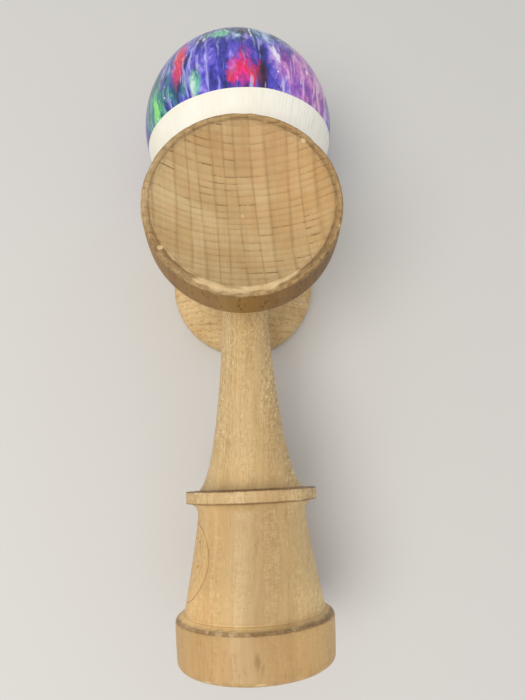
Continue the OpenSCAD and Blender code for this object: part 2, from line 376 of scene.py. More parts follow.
class Shader:
    """Builds one node material. Its colour is laid on in layers."""

    def __init__(self, name):
        self.material = bpy.data.materials.new(name)
        self.material.use_nodes = True
        self.tree = self.material.node_tree
        self.bsdf = self.tree.nodes["Principled BSDF"]
        self.colour = None

    def put(self, socket, value):
        """Links a wire to an input, or sets the input to a colour or number."""
        if isinstance(value, Wire):
            self.tree.links.new(value.socket, socket)
        elif socket.type == "RGBA":
            socket.default_value = srgb(*value)
        else:
            socket.default_value = value

    def node(self, kind, inputs, output=0, **settings):
        made = self.tree.nodes.new("ShaderNode" + kind)
        for key, value in settings.items():
            setattr(made, key, value)
        for key, value in inputs.items():
            self.put(made.inputs[key], value)
        return Wire(self, made.outputs[output])

    def math(self, kind, *values, clamp=False):
        return self.node("Math", dict(enumerate(values)), operation=kind, use_clamp=clamp)

    def hypot(self, *parts):
        """Length of the vector that has the given parts."""
        return self.math("SQRT", sum((p * p for p in parts[1:]), parts[0] * parts[0]))

    def place(self):
        """Object coordinates, in millimetres."""
        at = self.node("TexCoord", {}, "Object")
        return self.node("VectorMath", {0: at, 1: (1 / MM, 1 / MM, 1 / MM)}, operation="MULTIPLY")

    def split(self, vector):
        first = self.node("SeparateXYZ", {0: vector})
        return [Wire(self, output) for output in first.socket.node.outputs]

    def join(self, x, y, z):
        return self.node("CombineXYZ", {0: x, 1: y, 2: z})

    def mark(self, name):
        """A value that the mesh carries from point to point."""
        return self.node("Attribute", {}, "Fac", attribute_name=name)

    def noise(self, vector, detail=2.0, rough=0.5, scale=1.0, output=0):
        inputs = {"Vector": vector, "Scale": scale, "Detail": detail, "Roughness": rough}
        return self.node("TexNoise", inputs, output)

    def field(self, x, y, z, detail=2.0, rough=0.5):
        """Noise at the place that has the given parts."""
        return self.noise(self.join(x, y, z), detail, rough)

    def swirl(self, x, y, z, detail=2.0, rough=0.5):
        """Three noises at once, each from -0.5 to 0.5."""
        colour = self.noise(self.join(x, y, z), detail, rough, output="Color")
        return [part - 0.5 for part in self.split(colour)]

    def random(self, value, seed):
        return self.node("TexWhiteNoise", {"Vector": self.join(value, seed, 0.0)})

    def specks(self, vector, scale=1.0):
        """Distance from the nearest of many scattered points."""
        return self.node("TexVoronoi", {"Vector": vector, "Scale": scale}, "Distance")

    def step(self, value, low, high):
        """Rises softly from 0 at low to 1 at high, or falls where low is the larger one."""
        return self.node("MapRange", {"Value": value, "From Min": low, "From Max": high},
                         interpolation_type="SMOOTHSTEP")

    def ramp(self, fac, stops):
        made = self.node("ValToRGB", {0: fac})
        bar = made.socket.node.color_ramp.elements
        while len(bar) < len(stops):
            bar.new(0.5)
        for element, (at, colour) in zip(bar, stops):
            element.position, element.color = at, srgb(*colour)
        return made

    def mix(self, fac, a, b, blend="MIX"):
        return self.node("Mix", {0: fac, 6: a, 7: b}, 2, data_type="RGBA", blend_type=blend)

    def lay(self, fac, over, blend="MIX"):
        """Lays a colour over what is there, as strongly as fac says."""
        self.colour = self.mix(fac, self.colour, over, blend)

    def lay_tones(self, pattern, fac, *tones):
        """Lays colours where a pattern goes from low to high; tones are (low, high, colour)."""
        for low, high, colour in tones:
            self.lay(self.step(pattern, low, high) * fac, colour)

    def bump(self, height, distance, strength, **below):
        return self.node("Bump", dict(below, Height=height, Distance=distance, Strength=strength))

    def finish(self, **sockets):
        """Sets inputs of the surface, named with underscores for spaces."""
        for key, value in sockets.items():
            self.put(self.bsdf.inputs[key.replace("_", " ")], value)
        return self.material


# Beech: widths of its rings and of the strips between its big rays, and tints

RING_WIDTH, STRIP_WIDTH = 1.9, 3.6
FINE_DARK, FINE_LIGHT = (246, 243, 237), (255, 255, 255)
BAND_DARK, BAND_LIGHT, PALE_WOOD = (150, 108, 62), (238, 214, 166), (240, 216, 172)
RING_SHADE, RING_LINE = (146, 100, 54), (96, 60, 28)
RAY, TICK, PORE = (112, 76, 38), (118, 78, 42), (116, 80, 46)
SILK_DARK, SILK_LIGHT, SPARK = (154, 116, 72), (246, 222, 170), (252, 236, 196)
CHATTER_DARK, CHATTER_LIGHT = (158, 124, 78), (240, 214, 164)
WARM_CAST = (255, 238, 216)
EYE_WOOD, EYE_LINE, EYE_SPOT = (226, 186, 112), (150, 92, 44), (138, 88, 42)
# The corner tint is painted shade with dirt.
SMEAR, CORNER_SHADE_DIRT, RUBBED = (140, 104, 68), (128, 92, 56), (222, 190, 138)
FRAY_DARK, FRAY_LIGHT, FRESH_DARK = (100, 80, 56), (214, 184, 130), (208, 174, 120)


class Beech(Shader):
    """Turned beech, coloured as solid wood. Fibres run along the axis fibre, which is also the lathe's,
    through the point at. pith is a point on the tree's middle, rays the direction across the rays. u
    counts millimetres across the growth rings, v across the rays and w along the fibres."""

    def __init__(self, name, fibre, at, pith, rays, look):
        super().__init__(name)
        self.look = look
        self.here = self.place()
        self.xyz = self.split(self.here)
        off = [c - a for c, a in zip(self.xyz, at)]
        side = [i for i in range(3) if i != fibre]
        wander = (self.noise(self.here, 1.0, scale=1 / 24) - 0.5) * look["wander"]
        self.u = self.hypot(*[self.xyz[i] - pith[i] + wander for i in side])
        self.v = off[side[0]] * rays[0] + off[side[1]] * rays[1]
        self.w = self.xyz[fibre]
        self.along, self.round = off[fibre], [off[i] for i in side]
        facing = [abs(n) for n in self.split(self.node("TexCoord", {}, "Normal"))]
        self.sideways = facing[side[0]]
        self.end = self.step(facing[fibre], 0.3, 0.9)
        self.side_face = 1.0 - self.end
        self.upper = self.step(self.along, 2.0, 14.0)
        self.wall = self.step(self.side_face, 0.35, 0.85) * self.upper
        self.figure = self.mark("figure")

    def made(self):
        """Lays all colours, each over the ones before, and finishes the material."""
        self.tone()
        self.end_grain()
        self.side_grain()
        if "eye" in self.look:
            self.eye(*self.look["eye"])
        return self.wear()

    def tone(self):
        """Slow changes of tone, longest along the fibres, with warm stripes, fine lines, painted shade on
        the big cup's wall, and bands.
        """
        u, v, w, look = self.u, self.v, self.w, self.look
        slow = self.field(u / 7, v / 14, w / 60)
        self.colour = self.ramp(slow, [(0.3, look["light"]), (0.5, look["mid"]), (0.72, look["dark"])])
        stripe = self.field(u / 2.6, v / 5, w / 90)
        self.lay(self.step(stripe, 0.42, 0.68) * look["stripe"], look["warm"])
        fine = self.field(v / 0.55, u / 16, w / 24)
        self.lay(look["fine"], self.ramp(fine, [(0.3, FINE_DARK), (0.7, FINE_LIGHT)]), "MULTIPLY")
        # Painted shade: side faces high up, which on the cups are the big cup's wall, are darkened all
        # round.
        self.lay(self.wall * look["wall"], look["wall_shade_tint"], "MULTIPLY")
        band = self.field(u / 0.9, v / 1.6, w / 40)
        band_on = self.side_face * self.figure * look["bands"]
        self.lay_tones(band, band_on, (0.5, 0.72, BAND_DARK), (0.5, 0.3, BAND_LIGHT))
        self.relief = fine * 0.3

    def end_grain(self):
        """Strips between big rays, rings that break and step at them, rays, and short dashes."""
        u, v, w, look, end = self.u, self.v, self.w, self.look, self.end
        strip = v / STRIP_WIDTH + self.field(v / 8, u / 90, w / 90, 1.0) * 1.7
        strip_id = strip.floor()
        strip_tone = self.random(strip_id, 3.0) - 0.5
        strip_tint = self.mix(self.step(strip_tone, -0.02, 0.02), BAND_DARK, PALE_WOOD)
        self.lay(abs(strip_tone) * end * look["strips"], strip_tint)

        ring = u / RING_WIDTH + self.field(u / 8, 0.0, 0.0, 1.0) * 1.9 + self.random(strip_id, 9.0) * 0.12
        in_ring = ring.fract()
        shade = self.step(in_ring, 0.35, 0.9) * self.step(in_ring, 1.0, 0.94)
        self.lay(shade * look["rings"] * 0.3, RING_SHADE)
        line = self.step(in_ring, 0.72, 0.88) * self.step(in_ring, 1.0, 0.92)
        per_strip = self.random(strip_id + ring.floor() * 7.0, 2.0)
        short = self.step(self.field(v / 1.1, u / 2, w / 30, 1.0), 0.36, 0.52)
        broken = self.field(v / 4.5, u / 3, w / 30) * 0.8 + per_strip * 0.5
        line = line * (self.step(broken, 0.62, 0.9) * (short * 0.75 + 0.25))
        self.lay(line * look["rings"] * (end * 0.6 + 0.4) * (self.figure * 1.3 + 0.35), RING_LINE)

        from_ray = 0.5 - abs(strip.fract() - 0.5)
        ray_fade = self.field(v / 2, u / 8, 0.0, 1.0)
        ray = self.step(from_ray, 0.18, 0.0) * self.step(ray_fade, 0.22, 0.5)
        self.lay(ray * end * self.upper * look["rays"], RAY)
        tick = self.step(self.field(v / 1.4, u / 0.46, w / 2.5, 1.0), 0.53, 0.72)
        slant = end * (1.0 - end) * 3.6 + end * 0.15
        self.lay(tick * look["ticks"] * slant.clamp(), TICK)
        self.relief = self.relief - line * 0.3 - ray * end * 0.25

    def side_grain(self):
        """Lens flecks of the small rays, silk, marks of a chattering tool, sparks and pores."""
        u, v, w, look, side_face = self.u, self.v, self.w, self.look, self.side_face
        (wide, long), rare = look["fleck_size"], look["fleck_gaps"]
        uneven = (self.noise(self.here, 3.0, scale=1 / 1.1) - 0.5) * 1.1
        lens = self.step(self.specks(self.join(v / wide, u / 14, w / long)) + uneven, 0.38, 0.12)
        gaps = self.step(self.field(v / 9, u / 20, w / 14, 1.0), rare, rare + 0.15)
        fleck_on = side_face * self.step(self.sideways, 0.9, 0.55) * (self.wall * 0.55 + 0.45)
        self.lay(lens * gaps * fleck_on * look["flecks"], look["fleck_tint"])

        silk = self.field(u / 0.4, v / 0.4, w / 1.3, 2.0, 0.6)
        zone = self.step(self.field(u / 5, v / 5, w / 22, 1.0), 0.42, 0.62)
        silk_on = side_face * (zone * 0.3 + 0.06 + self.sideways * 0.5) * self.figure * look["silk"]
        self.lay_tones(silk, silk_on, (0.52, 0.7, SILK_DARK), (0.5, 0.32, SILK_LIGHT))
        chatter = self.field(u / 2.0, v / 2.0, w / 0.42, 2.0, 0.6)
        chatter_on = zone * side_face * (self.figure * 2.0).clamp() * look["chatter"]
        self.lay_tones(chatter, chatter_on, (0.5, 0.7, CHATTER_LIGHT), (0.5, 0.32, CHATTER_DARK))
        spark = self.field(u / 0.35, v / 0.35, w / 0.7, 1.0)
        self.lay(self.step(spark, 0.68, 0.78) * silk_on, SPARK)
        self.pores = self.step(self.field(u / 0.17, v / 0.17, w / 2.2, 1.0), 0.64, 0.8)
        self.lay(self.pores * 0.16, PORE)
        # The warm mark makes the colour warmer and darker, and the tone mark below scales it; the tone holds
        # painted light and shade, and on the big cup's wall the warmth is part of the painted shade.
        self.lay(self.mark("warm"), WARM_CAST, "MULTIPLY")
        self.colour = self.node("VectorMath", {0: self.colour, "Scale": self.mark("tone") + 1.0},
                                operation="SCALE")
        self.relief = self.relief + silk * side_face * 0.3 - self.pores * 0.4

    def eye(self, at, reach):
        """Growth rings that graze the surface arch there, and fade lower down."""
        away = self.hypot(*[(c - a) / reach for c, a in zip(self.xyz, at)])
        sway = self.noise(self.here, 2.0, scale=1 / 7) - 0.5
        shown = self.step(self.xyz[2] + sway * 8.0, at[2] - 4.0, at[2] + 2.0)
        self.lay(self.step(away + sway * 0.14, 1.02, 0.9) * shown * 0.16, EYE_WOOD)
        for place, loose, strength in ((1.0, 0.14, 0.6), (0.7, 0.6, 0.26), (0.42, 0.8, 0.2)):
            from_ring = abs(away + sway * loose - place)
            self.lay(self.step(from_ring, 0.026, 0.006) * shown * strength, EYE_LINE)
        ragged = self.noise(self.here, 2.0, scale=1 / 0.5) * 0.16
        spot = (self.step(self.specks(self.here, 1 / 1.9) + ragged, 0.36, 0.22)
                * self.step(self.noise(self.here, 1.0, scale=1 / 3), 0.46, 0.58))
        self.lay(spot * self.step(away, 1.0, 0.85) * shown * 0.6, EYE_SPOT)

    def wear(self):
        """Rubbed and frayed edges, grime on lines, with painted shade where the handle's lines lie by its
        collar and base, painted shade with dirt in corners, clean wood in chips, and the relief.
        """
        look = self.look
        far = self.hypot(*self.round)
        fray = self.field(*[part / far * 11 for part in self.round], far / 0.34, 3.0, 0.6)
        crumbs = self.noise(self.here, 3.0, 0.6, scale=1 / 1.3)
        grit = self.noise(self.here, 3.0, 0.65, scale=1 / 0.6)
        smear = self.noise(self.here, 3.0, 0.6, scale=1 / 6)
        edge, corner, chip, grime = [self.mark(name) for name in ("edge", "corner", "chip", "grime")]
        self.lay(self.step(smear, 0.5, 0.85) * 0.16, SMEAR)
        self.lay(edge * look["edge"] * (crumbs * 0.8 + 0.5), look["edge_tint"])
        frayed = (edge + grime).clamp() * look["fray"]
        self.lay_tones(fray, frayed, (0.5, 0.64, FRAY_DARK), (0.48, 0.34, FRAY_LIGHT))
        rubbed = self.step(edge + (0.5 - crumbs) * 2.4, 0.85, 1.3)
        self.lay(rubbed * look["rubbed"], RUBBED)
        # Dark lines round the handle beside the collar and over the base's top edge: grime with painted
        # shade.
        for place, half, strength in look.get("lines", ()):
            from_line = abs(self.along - place + (crumbs - 0.5) * 0.3)
            line = self.step(from_line, half * 1.3, half * 0.4) * strength
            grime = self.math("MAXIMUM", grime, line)
        dark_line = (grime * (grit * 1.4 + smear * 0.9 - 0.3)).clamp()
        self.lay(dark_line * 0.8, look["grime_and_shade_tint"])
        # Painted shade with dirt in concave corners.
        self.lay(self.step(corner + (smear - 0.5) * 0.9, 0.3, 1.0) * look["corner"], CORNER_SHADE_DIRT)
        fresh = self.step(chip * (0.4 + crumbs * 1.2), 0.1, 0.95)
        self.lay(fresh * 0.8, self.mix(smear, FRESH_DARK, PALE_WOOD))

        tool = self.field(far / 0.4, self.along / 0.4, 0.0)
        normal = self.bump(self.relief + tool * 0.3, 0.06 * MM, 0.6)
        normal = self.bump((crumbs + fray) * (edge + chip), 0.22 * MM, 0.7, Normal=normal)
        roughness = 0.52 + (smear - 0.5) * 0.16 + self.pores * 0.1 - edge * 0.05 + chip * 0.12
        return self.finish(Base_Color=self.colour, Roughness=roughness, Normal=normal,
                           Specular_IOR_Level=look["shine"], Coat_Weight=0.05, Coat_Roughness=0.35)


# The handle's outline and the heights of its edges, counted from the crossing of the axes

CUT_LEAN = radians(8)  # the outline is cut this far off the upright plane
COLLAR_BETWEEN = (-85, -50)  # the stretch of the handle with its collar
SHOULDER_LONGEST = 4  # the shoulder over the base ends below this height over it

cut_way = Z * cos(CUT_LEAN) + X * sin(CUT_LEAN)
handle_line = smoothed(outline("handle", CROSSING, Y, cut_way), False, finest=0.22, coarsest=0.8)
line_r, line_s = handle_line.T
by_collar = (line_s > COLLAR_BETWEEN[0]) & (line_s < COLLAR_BETWEEN[1])
COLLAR_R = line_r[by_collar].max()
on_collar = by_collar & (line_r > COLLAR_R - 0.1)
COLLAR_LOW, COLLAR_TOP = line_s[on_collar].min(), line_s[on_collar].max()
BASE_R = line_r.max()
BASE_TOP = line_s[line_r > BASE_R - 0.15].max()
BASE_LOW = handle_low[1] - CROSSING[1]
over_base = (line_s > BASE_TOP) & (line_s < BASE_TOP + SHOULDER_LONGEST)
SHOULDER_TOP = line_s[over_base][turns(handle_line, False)[over_base].argmin()]

# Looks of the woods: tints as sRGB bytes, strengths of marks, sizes in millimetres. The eye is a place
# in the frame and a radius, and lines are (place along the axis, half width, strength) of dark lines,
# grime with painted shade, beside the collar and over the base's top edge. The wall shade tint is
# painted shade on the big cup's wall, and corner sets how strongly corners get painted shade with dirt.
HANDLE_LOOK = dict(
    light=(212, 184, 134), mid=(203, 173, 121), dark=(191, 158, 108), warm=(208, 168, 114),
    fleck_tint=(164, 114, 68), edge_tint=(158, 124, 84), grime_and_shade_tint=(112, 80, 46), wall_shade_tint=(255, 255, 255),
    stripe=0.28, wander=3.0, wall=0.0, strips=0.2, rings=0.12, rays=0.1, ticks=0.1, bands=0.2, fine=0.5,
    flecks=0.6, fleck_size=(0.8, 6.0), fleck_gaps=0.46, silk=0.85, chatter=0.2,
    edge=0.12, rubbed=0.3, fray=0.15, corner=0.1, shine=0.4, eye=((-15.9, -68.5, 35.8), 9.8),
    lines=((COLLAR_TOP + 0.1, 0.3, 1.0), (COLLAR_LOW - 0.1, 0.32, 1.0), (BASE_TOP + 0.33, 0.45, 1.0)))
CUP_LOOK = dict(
    light=(207, 182, 137), mid=(198, 171, 124), dark=(188, 158, 111), warm=(201, 163, 112),
    fleck_tint=(104, 66, 34), edge_tint=(146, 116, 78), grime_and_shade_tint=(100, 74, 46), wall_shade_tint=(226, 206, 152),
    stripe=0.4, wander=2.2, wall=1.0, strips=0.18, rings=0.55, rays=0.28, ticks=0.45, bands=0.2, fine=1.0,
    flecks=0.65, fleck_size=(1.3, 3.4), fleck_gaps=0.36, silk=0.3, chatter=0.0,
    edge=0.3, rubbed=0.3, fray=0.26, corner=0.25, shine=0.22)
CORE_LOOK = dict(CUP_LOOK, wall=0.0, edge=0.2, light=(224, 198, 150))

HANDLE_PITH, CUP_PITH, CORE_PITH = (-90.0, 0.0, AXIS_Z - 20), (5.0, CUP_Y + 143, 0.0), (20.0, 0.0, -60.0)
handle_wood = Beech("handle_beech", 1, CROSSING, HANDLE_PITH, (0.97, 0.25), HANDLE_LOOK).made()
cup_wood = Beech("cup_beech", 2, CROSSING, CUP_PITH, (1.0, 0.05), CUP_LOOK).made()
core_wood = Beech("ball_beech", 1, BALL_AT, CORE_PITH, (1.0, 0.1), CORE_LOOK).made()


# Wear

ALL_ROUND = inf  # along_rim of a dent that runs all round
DENT_WIDTH = (0.45, 0.9)


def scatter_dents(turned, places, count, long, depth, clean_share):
    """Small dents scattered along edges; places are (radius, place along the axis, way in)."""
    for _ in range(count):
        r, s, way = places[rng.integers(len(places))]
        turned.bite(rng.uniform(0, tau), r, s, rng.uniform(*long), rng.uniform(*DENT_WIDTH),
                    rng.uniform(*depth), way, clean=float(rng.random() < clean_share) * rng.uniform(0.5, 1))


# Handle

UP = -pi / 2  # the angle about the handle's axis that faces up
FIGURE_ALONG = ((BASE_TOP, 0.2), (SHOULDER_TOP, 0.4), (COLLAR_LOW - 1, 0.5), (COLLAR_LOW, 0.8),
                (COLLAR_TOP, 0.8), (COLLAR_TOP + 9, 0.7), (COLLAR_TOP + 22, 0.95), (COLLAR_TOP + 50, 1.3))
COLLAR_DENTS, RIM_CHIPS, FOOT_DENTS = 46, 40, 46
KNOT_R, KNOT_HALF_LENGTH = 2.0, 12.0


def mark_handle(turned):
    """Figure of the handle's wood, which changes along it, its warm mark, strong on the base and towards the
    grip's left, and its tone mark, which is painted light and shade: darker on top, lighter to the base's
    right, lighter where the shoulder faces up but darker on its right side, and lighter at the sides of the
    grip's foot and at the neck's foot.
    """
    s = turned.s
    to_right, to_floor = turned.across()
    base = s < BASE_TOP + 0.2
    grip = (s < COLLAR_LOW) & ~base
    on_top = np.exp(-(to_right / 9) ** 2) * (to_floor < 0)
    shaded_side = np.clip((to_right + 2) / 15, 0, 1)
    faces_up = np.clip(0.4 - to_floor / 12, 0.3, 1)
    down_shoulder = np.clip((SHOULDER_TOP - s) / (SHOULDER_TOP - BASE_TOP), 0, 1)
    shoulder = np.clip(0.42 + down_shoulder * 16, 0, 1) * (grip & (s < SHOULDER_TOP + 0.01))
    neck_foot, grip_foot = [np.exp(-((s - low - 3) / 5) ** 2) for low in (COLLAR_TOP, SHOULDER_TOP)]
    neck_foot = neck_foot * (s > COLLAR_TOP)
    grip_foot = grip_foot * np.clip(abs(to_right) / 14, 0, 1)
    # Painted light and shade, laid as tone: the top darker, the shoulder where it faces up and the sides of
    # the grip's foot lighter, the shoulder's right side darker.
    base_light_and_shade = -0.02 - 0.18 * on_top + to_right * 0.004
    grip_light_and_shade = 0.08 - 0.24 * on_top + (1 - shoulder) * grip_foot * 0.17
    shoulder_light_and_shade = (0.82 - 0.3 * down_shoulder - 0.7 * shaded_side) * faces_up
    grip_warmth = (1 - shoulder) * np.clip(0.15 - to_right / 60, 0, 0.4)
    turned.marks.update(
        figure=np.interp(s, *zip(*FIGURE_ALONG)),
        tone=base * base_light_and_shade + grip * grip_light_and_shade + shoulder * shoulder_light_and_shade + neck_foot * 0.1,
        warm=base * 0.6 + grip * grip_warmth)


def wear_handle(turned):
    """Dents on the collar, a chipped edge round the base's top, dents round its foot, and a flaw."""
    collar_edges = [(COLLAR_R, COLLAR_TOP, (-1, -1)), (COLLAR_R, COLLAR_LOW, (-1, 1))]
    scatter_dents(turned, collar_edges, COLLAR_DENTS, long=(0.5, 2.2), depth=(0.05, 0.2), clean_share=0.3)
    spread = np.linspace(-pi, pi, RIM_CHIPS, endpoint=False)
    # Chips round the base's top edge: clean on the left, growing darker towards the right.
    for turn in spread + rng.uniform(-0.05, 0.05, RIM_CHIPS):
        right_side = 0.5 + 0.5 * sin(turn)
        turned.bite(UP + turn, BASE_R - 0.5, BASE_TOP + 0.7, along_rim=rng.uniform(0.6, 1.6) + right_side,
                    across=rng.uniform(0.6, 1.3), depth=rng.uniform(0.06, 0.2), way=(-1, -0.6),
                    clean=rng.uniform(0, 1.0) * (1 - right_side ** 2),
                    dirty=rng.uniform(0.05, 0.3) + 0.7 * right_side ** 3)
    foot_edge = [(BASE_R - 0.9, BASE_LOW + 0.5, (-1, 0.8))]
    scatter_dents(turned, foot_edge, FOOT_DENTS, long=(0.6, 2.4), depth=(0.06, 0.22), clean_share=0.5)
    turned.bite(UP, BASE_R, BASE_TOP - 5.2, along_rim=0.75, across=2.0, depth=0.14, way=(-1, 0), dirty=0.7)
    turned.bite(UP + 0.05, BASE_R, BASE_TOP - 7.0, along_rim=0.6, across=1.6, depth=0.12, way=(-1, 0),
                dirty=0.5)
    turned.s = np.maximum(turned.s, BASE_LOW)


handle_turned = Turned(handle_line, False, CROSSING, Y, X, segments=256)
handle_turned.bite(0, BASE_R + 0.3, BASE_LOW, along_rim=ALL_ROUND, across=5.4, depth=0.15, way=(-1, 0))
mark_handle(handle_turned)
wear_handle(handle_turned)
handle = handle_turned.piece("turned_handle")
drill(handle, [plug("knot_cut", X, Y, KNOT_R, KNOT_R, KNOT_HALF_LENGTH)])
finished(handle, handle_wood)
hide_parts("handle")
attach(handle, "handle")


# Cross-piece: its outline is cut half way between the bores, which run along X and Y

cup_cut = outline("cup_crosspiece", CROSSING, Z, (X + Y) / sqrt(2))
cup_line = smoothed(cup_cut, False, finest=0.2, coarsest=0.7)
BIG_TOP, SMALL_LOW = cup_line[:, 1].max(), cup_line[:, 1].min()
DISH_MID = cup_line[-1, 1]
NEAR, FAR = -pi / 2, pi / 2  # the angles that face the handle's base and the ball
DISH_R, DISH_LOW = 22.5, 15  # the big cup's dish lies inside this radius, over this height
WALL_LOW = 12  # its wall lies outside that radius, over this height
FLANK_TOP, FLANK_R = -10, 13  # the small cup's flank lies under this height, outside this radius
BIG_DENTS, SMALL_DENTS, NEAR_CHIPS = 110, 70, 17
BORE_REACH = 7.6  # points nearer than this to the handle's axis lie on its bore
BORE_HALF_LENGTH = 30.0


def mark_cups(turned):
    """Figure and warmth of the cross-piece's wood, which change from part to part, and its tone mark:
    painted shade on the big cup's wall towards the handle's base, where the warmth adds to it, and painted
    light on the small cup's flank.
    """
    r, s = turned.r, turned.s
    to_right, to_ball = turned.across()
    flank = (s > SMALL_LOW + 3) & (r > FLANK_R)
    on_flank = np.clip((FLANK_TOP - s) / 8, 0, 1) * flank
    on_wall = (r > DISH_R) & (s > WALL_LOW)
    in_dish = (r < DISH_R) & (s > DISH_LOW)
    to_side = np.clip(abs(to_right) / 18, 0, 1) ** 2
    to_base = np.clip(-to_ball / 14, 0, 1)
    # Painted shade on the big cup's wall towards the handle's base, darker and warmer towards its sides.
    wall_shade = 0.06 + to_base * (0.17 + 0.22 * to_side)
    dish_calm = 0.2 + to_right * to_ball / 260
    wall_shade_warmth = to_base * (0.6 + 0.8 * to_side)
    warmth = 0.2 + to_right * 0.02 + to_ball * 0.02 + on_wall * wall_shade_warmth
    # The tone is painted shade on the wall and painted light on the small cup's flank; it is also lighter
    # towards the sides, most on the left, and darker towards the ball.
    turned.marks.update(
        figure=np.clip(0.5 - in_dish * dish_calm - on_flank * 0.35, 0.08, 1.0),
        tone=(to_right * -0.003 + abs(to_right) * 0.004 - np.clip(to_ball, 0, None) * 0.003
              - 0.05 + on_flank * 0.17 - on_wall * wall_shade),
        warm=(s > 0) * np.clip(warmth, 0, 1))


def wear_rim(turned, rim, count):
    """Rounds, dents and soils the flat rim of a cup. The big cup's is worn bare towards the base."""
    flat = cup_line[abs(cup_line[:, 1] - rim) < 0.01, 0]
    inner, outer, inward = flat.min(), flat.max(), -np.sign(rim)
    turned.bite(0, inner - 0.2, rim, along_rim=ALL_ROUND, across=1.0, depth=0.16, way=(0.5, inward))
    edges = [(inner - 0.1, rim + 0.1 * inward, (0.6, inward)),
             (outer + 0.5, rim + 0.3 * inward, (-1, 0.8 * inward)),
             (outer, rim, (-0.3, inward))]
    scatter_dents(turned, edges, count, long=(0.5, 2.2), depth=(0.06, 0.26), clean_share=0.03)
    bare = [(NEAR, radians(34))] if rim == BIG_TOP else []
    turned.soil(inner + 0.15, rim + 0.1 * inward, width=0.34, strength=0.85, clean=bare)
    turned.soil(outer + 0.45, rim + 0.15 * inward, width=0.3, strength=0.6, clean=bare)
    turned.soil((inner + outer) / 2, rim, width=1.1, strength=0.22, clean=bare + [(FAR, radians(36))])
    if rim == BIG_TOP:
        for turn in np.linspace(-29, 29, NEAR_CHIPS) + rng.uniform(-2, 2, NEAR_CHIPS):
            turned.bite(NEAR + radians(turn), inner + rng.uniform(-0.3, 1.3), rim,
                        along_rim=rng.uniform(2.0, 5.0), across=rng.uniform(0.6, 1.0),
                        depth=rng.uniform(0.1, 0.24), way=(0.5, inward), clean=rng.uniform(0.6, 1.0))
        turned.bite(radians(-149), inner + 0.4, rim, along_rim=0.9, across=0.9, depth=0.35,
                    way=(0.3, inward), clean=1.0)


def bore_radii():
    """Radii of the tapered bore, read off the solid, at the two ends of its cutter."""
    points = points_of("cup_crosspiece") - CROSSING
    off = np.hypot(points[:, 0], points[:, 2])
    inside = off < BORE_REACH
    slope, middle = np.polyfit(points[inside, 1], off[inside], 1)
    return middle - slope * BORE_HALF_LENGTH, middle + slope * BORE_HALF_LENGTH


cup_turned = Turned(cup_line, False, CROSSING, Z, X, segments=320)
mark_cups(cup_turned)
wear_rim(cup_turned, BIG_TOP, BIG_DENTS)
wear_rim(cup_turned, SMALL_LOW, SMALL_DENTS)
cup_turned.bite(0.0, 0.0, DISH_MID, along_rim=ALL_ROUND, across=0.8, depth=0.2, way=(0, -1), clean=1.0)
cups = cup_turned.piece("turned_cups")
string_r = next(m["dims"]["r_mm"] for m in frame["record"]["mounts"] if m["name"] == "string_hole_right")
drill(cups, [plug("bore_cut", Y, X, *bore_radii(), BORE_HALF_LENGTH, segments=192),
             plug("string_cut", X, Y, string_r, string_r, BORE_HALF_LENGTH)])
finished(cups, cup_wood)
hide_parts("cup_crosspiece")
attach(cups, "cup_crosspiece")


# Ball: the wood shows only in its holes

core_cut = outline("ball", BALL_AT, Y, (X + Z) / sqrt(2))
core_line = smoothed(core_cut, True, finest=0.25, coarsest=0.9)
core_turned = Turned(core_line, True, BALL_AT, Y, X, segments=160)
core = core_turned.piece("ball_core")
finished(core, core_wood)
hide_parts("ball")
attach(core, "ball")


# Paint on the ball: two shells that meet at the paint line. Angles count from the far pole, +Y

SPIN = np.arange(256) * tau / 256
SECTOR = 10  # the paint line is read once in so many degrees
SEAM_WAVES = ((3, 0.07, 0.4), (7, 0.05, 2.0), (13, 0.04, 1.1))  # waves a turn, height, phase
SEAM_DIP, SEAM_HALF = 0.05, 0.22  # depth and half width of the dip at the paint line
WHITE_STEPS, MARBLED_STEPS = 40, 84
WHITE_LOWERED, MARBLED_LOWERED = 0.03, 0.012


def paint_plane():
    """Normal and distance of the paint line's plane, fitted to the white coat's highest points."""
    from_ball = white_points - BALL_AT
    sector = np.floor(np.degrees(np.arctan2(from_ball[:, 2], from_ball[:, 0])) / SECTOR)
    highest = np.array([max(from_ball[sector == k], key=lambda p: p[1]) for k in np.unique(sector)])
    rows = np.c_[highest[:, [0, 2]], np.ones(len(highest))]
    tilt_x, tilt_z, height = lstsq(rows, highest[:, 1], rcond=None)[0]
    normal = np.array([-tilt_x, 1.0, -tilt_z])
    size = norm(normal)
    return normal / size, height / size


def paint_line():
    """Angle of the paint line all round, with a painter's small waves."""
    normal, offset = paint_plane()
    across = normal[0] * np.cos(SPIN) + normal[2] * np.sin(SPIN)
    lean = np.arctan2(across, normal[1])
    waves = sum(high * np.sin(count * SPIN + phase) for count, high, phase in SEAM_WAVES)
    return lean + np.arccos(offset / (BALL_R * np.hypot(across, normal[1]))) + waves / BALL_R


def polar_angles(points, radius):
    """Angles of the points of a coat that lie at the given distance from the ball's middle."""
    out = points - BALL_AT
    reach = norm(out, axis=1)
    chosen = abs(reach - radius) < 0.02
    return np.arccos(out[chosen, 1] / reach[chosen])


def coat(start, end, steps, lowered):
    """A coat between two edges, each given as the angles of its outer and its inner side. Its outside
    is lowered a little, and dips at the paint line."""
    share = np.linspace(0, 1, steps)[:, None]
    outer, inner = [a * (1 - share) + b * share for a, b in zip(start, end)]
    dip = lowered + SEAM_DIP * np.exp(-(outer - seam) ** 2 * (BALL_R / SEAM_HALF) ** 2)
    reach = np.vstack([BALL_R - dip, np.full(inner.shape, CORE_R)])
    angle = np.vstack([outer, inner[::-1]])
    shell = Turned(np.zeros((2 * steps, 2)), True, BALL_AT, Y, X, len(SPIN))
    shell.second = Z
    shell.r, shell.s = reach * np.sin(angle), reach * np.cos(angle)
    return shell


